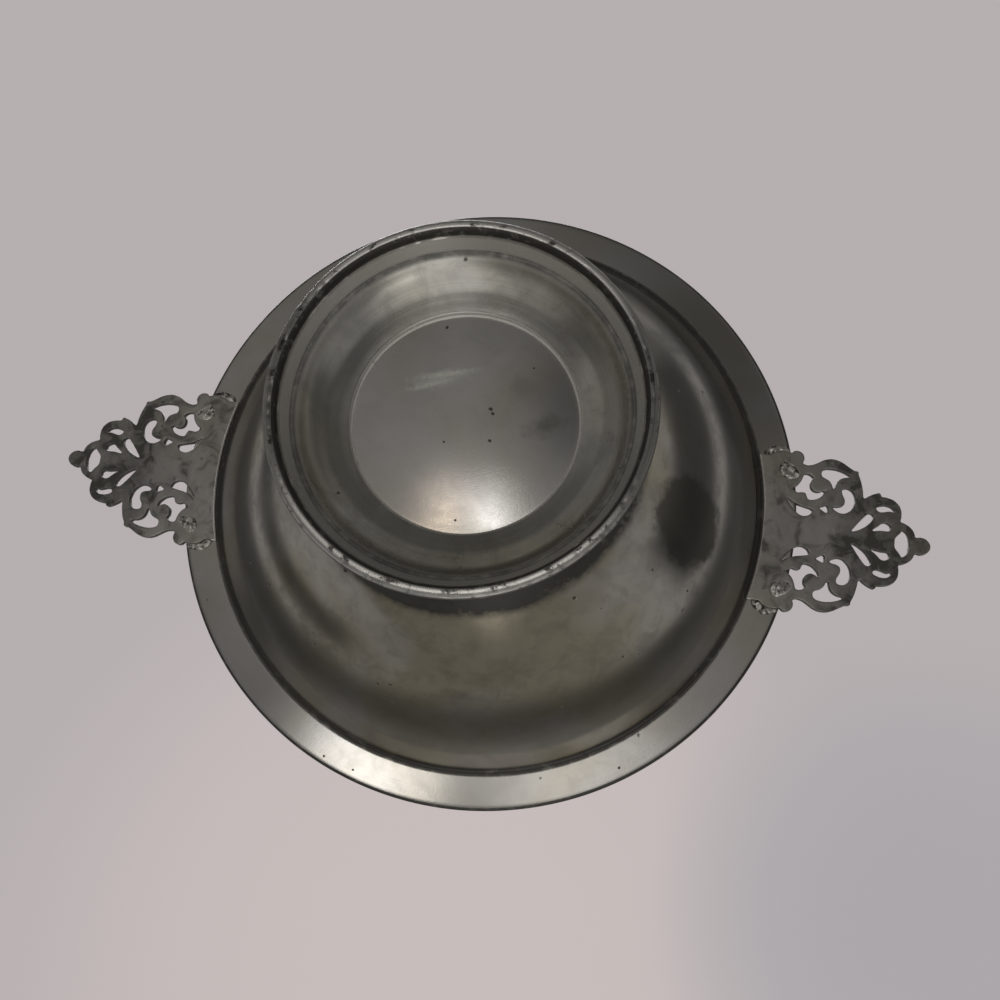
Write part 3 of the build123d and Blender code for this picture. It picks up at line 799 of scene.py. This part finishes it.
worldLook = {
    "backdrop": (0.47, 0.43, 0.435), "tint": (1.0, 0.975, 0.945), "bandsFrom": -1.0, "bandsTo": 0.5,
    "bands": ((-90, 0.5), (-84, 0.38), (-79, 0.31), (-74, 0.27), (-70, 0.22), (-66, 0.18), (-60, 0.13),
              (-45, 0.09), (-25, 0.1), (-12, 0.21), (0, 0.31), (10, 0.31)),      # height in degrees, light
    "cloth": ({"way": (-0.08, 0.195, 0.978), "outer": 26, "colour": (0.57, 0.51, 0.5)},
              {"way": (0.329, 0.109, 0.938), "outer": 15, "colour": (0.41, 0.39, 0.41)}),
    "horizon": (0.02, 0.1), "lean": (0.05, 0.2, 1.0), "wall": (0.5, 0.9, 0.31, 0.37), "dim": 0.065,
    "strip": {"from": (0.0, 0.6, 0.345, 0.235), "edge": 0.012, "end": (0.42, 0.44, 1.0, 0.0),
              "front": (-0.3, 0.5, 0.72, 0.2), "frontEdge": (-0.08, 0.12, 1.0, 0.0)},
    "overhead": {"from": (0.3, 0.7, 0.47, 0.43), "to": (0.3, 0.7, 0.5, 0.53), "ease": (0.1, 1.0),
                 "ahead": (0.35, 0.8), "aheadDim": 0.11},
    "front": {"rise": (0.62, 0.71), "ahead": (0.45, 0.75), "level": 0.26},
    "back": {"behind": (-0.66, -0.8), "level": 0.24}, "top": {"rise": (0.72, 0.95), "level": 0.6},
    "shaded": ({"way": (0.087, -0.348, -0.934), "inner": 3, "outer": 8, "level": 0.5},
               {"way": (0.45, 0.02, -0.89), "inner": 4, "outer": 15, "level": 0.5},
               {"way": (-0.247, 0.009, -0.969), "inner": 1, "outer": 5, "level": 0.6}),
    "lit": ({"way": (0.21, 0.79, -0.574), "inner": 14, "outer": 38, "level": 0.6},
            {"way": (0.50, 0.76, -0.42), "inner": 2, "outer": 13, "level": 0.5},
            {"way": (0.80, 0.23, -0.545), "inner": 7, "outer": 22, "level": 0.15},
            {"way": (-0.76, -0.15, -0.63), "inner": 8, "outer": 22, "level": 0.2},
            {"way": (-0.45, 0.65, -0.6), "inner": 6, "outer": 26, "level": 0.25},
            {"way": (0.20, 0.96, -0.17), "inner": 5, "outer": 14, "level": 0.28},
            {"way": (-0.292, -0.348, -0.891), "inner": 9, "outer": 20, "level": 0.13},
            {"way": (-0.178, 0.042, -0.983), "inner": 1, "outer": 5, "level": 3.2},
            {"way": (0.02, 0.025, -1), "inner": 2.5, "outer": 6, "level": 1.0})}


def lowLight(tree, look, parts):      # below the horizon: bands by height
    span = look["bandsTo"] - look["bandsFrom"]
    height = put(tree, "MapRange", {"Value": parts["Z"], "From Min": look["bandsFrom"],
                                    "From Max": look["bandsTo"]})
    bands = put(tree, "ValToRGB", {"Fac": height.outputs[0]})
    bands.color_ramp.interpolation = "EASE"
    while len(bands.color_ramp.elements) < len(look["bands"]):
        bands.color_ramp.elements.new(0.5)
    for stop, (rise, level) in zip(bands.color_ramp.elements, look["bands"]):
        stop.position = (math.sin(math.radians(rise)) - look["bandsFrom"]) / span
        stop.color = (level, level, level, 1)
    return bands.outputs[0]


def highLight(tree, look, way, parts):      # above it: a light wall with a dark strip, dim overhead
    strip, overhead, front = look["strip"], look["overhead"], look["front"]
    leaning = alike(tree, way, look["lean"])
    wall = ramp(tree, calc(tree, "ABSOLUTE", parts["X"]), *look["wall"])
    above = calc(tree, "SUBTRACT", leaning, ramp(tree, parts["X"], *strip["from"]))
    ahead = calc(tree, "SUBTRACT", parts["Y"], ramp(tree, parts["X"], *strip["front"]))
    dark = times(tree, ramp(tree, above, -strip["edge"], strip["edge"]), ramp(tree, leaning, *strip["end"]),
                 ramp(tree, ahead, *strip["frontEdge"]))
    high = between(tree, dark, wall, look["dim"])
    dimFrom = ramp(tree, parts["Y"], *overhead["from"])
    dimTo = ramp(tree, parts["Y"], *overhead["to"])
    over = calc(tree, "SUBTRACT", leaning, dimFrom)
    over = calc(tree, "DIVIDE", over, calc(tree, "SUBTRACT", dimTo, dimFrom))
    dimness = ramp(tree, parts["Y"], *overhead["ahead"], look["dim"], overhead["aheadDim"])
    high = between(tree, ramp(tree, over, *overhead["ease"]), high, dimness)
    glow = times(tree, ramp(tree, leaning, *front["rise"]), ramp(tree, parts["Y"], *front["ahead"]))
    high = between(tree, glow, high, front["level"])
    high = between(tree, ramp(tree, parts["Y"], *look["back"]["behind"]), high, look["back"]["level"])
    return between(tree, ramp(tree, parts["Z"], *look["top"]["rise"]), high, look["top"]["level"])


def patchShare(tree, way, patch, inner, level):      # level inside the inner angle, 0 past the outer one
    near = alike(tree, way, Vector(patch["way"]).normalized())
    outer, inner = (math.cos(math.radians(angle)) for angle in (patch["outer"], inner))
    return ramp(tree, near, outer, inner, 0.0, level)


def makeRoom(look):
    world = bpy.data.worlds.new("room")
    bpy.context.scene.world = world
    world.use_nodes = True
    tree = world.node_tree
    tree.nodes.clear()
    way = put(tree, "TexCoord").outputs["Generated"]
    parts = put(tree, "SeparateXYZ", {0: way}).outputs
    room = between(tree, ramp(tree, parts["Z"], *look["horizon"]), lowLight(tree, look, parts),
                   highLight(tree, look, way, parts))
    for patch in look["shaded"]:
        share = patchShare(tree, way, patch, patch["inner"], patch["level"])
        room = times(tree, room, calc(tree, "SUBTRACT", 1.0, share))
    for patch in look["lit"]:
        room = calc(tree, "ADD", room, patchShare(tree, way, patch, patch["inner"], patch["level"]))
    tinted = put(tree, "VectorMath", {0: look["tint"], "Scale": room}, operation="SCALE").outputs[0]
    backdrop = opaque(look["backdrop"])
    for patch in look["cloth"]:      # the cloth behind is not quite even
        backdrop = blend(tree, patchShare(tree, way, patch, 0, 1.0), backdrop, opaque(patch["colour"]))
    seen = put(tree, "LightPath").outputs["Is Camera Ray"]
    glow = put(tree, "Background", {"Color": blend(tree, seen, tinted, backdrop), "Strength": 1.0})
    put(tree, "OutputWorld", {"Surface": glow.outputs[0]})


makeRoom(worldLook)

# Lamps

white = (1, 1, 1)
lampLook = {
    "warmLamp": {"way": (-0.147, -0.140, -0.979), "distance": 1.5, "size": 0.05, "watts": 0.04,
                 "colour": (1, 0.82, 0.66)},
    "warmGlow": {"way": (-0.148, -0.165, -0.975), "distance": 1.5, "size": 0.15, "watts": 0.04,
                 "colour": (1, 0.87, 0.76)},
    "whiteLamp": {"way": (-0.064, -0.134, -0.989), "distance": 1.5, "size": 0.05, "watts": 0.065,
                  "colour": white},
    "whiteGlow": {"way": (-0.068, -0.162, -0.984), "distance": 1.5, "size": 0.16, "watts": 0.075,
                  "colour": white},
    "softBox": {"way": (-0.25, -0.6, 0.8), "distance": 1.2, "size": 0.8, "watts": 6, "colour": white}}


def hangLamp(name, look):
    light = bpy.data.lights.new(name, "AREA")
    light.shape = "DISK"
    light.size = look["size"]
    light.energy = look["watts"]
    light.color = look["colour"]
    holder = bpy.data.objects.new(name, light)
    bpy.context.scene.collection.objects.link(holder)
    way = Vector(look["way"]).normalized()
    holder.location = way * look["distance"]
    holder.rotation_mode = "QUATERNION"
    holder.rotation_quaternion = (-way).to_track_quat("-Z", "Y")
    holder.visible_camera = False


for name, look in lampLook.items():
    hangLamp(name, look)
print("lamps and room set")

# Camera

cameraLook = {"place": (0.0248, 0.0592, -0.1703), "forward": (-0.0858, -0.2351, 0.9682),
              "right": (0.9910, -0.1207, 0.0585), "lens": 36.0, "sensor": 36.0, "nearest": 0.001}
lens = bpy.data.cameras.new("camera")
lens.lens = cameraLook["lens"]
lens.sensor_width = cameraLook["sensor"]
lens.clip_start = cameraLook["nearest"]
camera = bpy.data.objects.new("camera", lens)
bpy.context.scene.collection.objects.link(camera)
forward = Vector(cameraLook["forward"]).normalized()
right = Vector(cameraLook["right"])
right = (right - forward * right.dot(forward)).normalized()
up = right.cross(forward)
turned = Matrix((right, up, -forward)).transposed().to_4x4()
camera.matrix_world = Matrix.Translation(cameraLook["place"]) @ turned
bpy.context.scene.camera = camera
bpy.context.scene.view_settings.view_transform = "Standard"
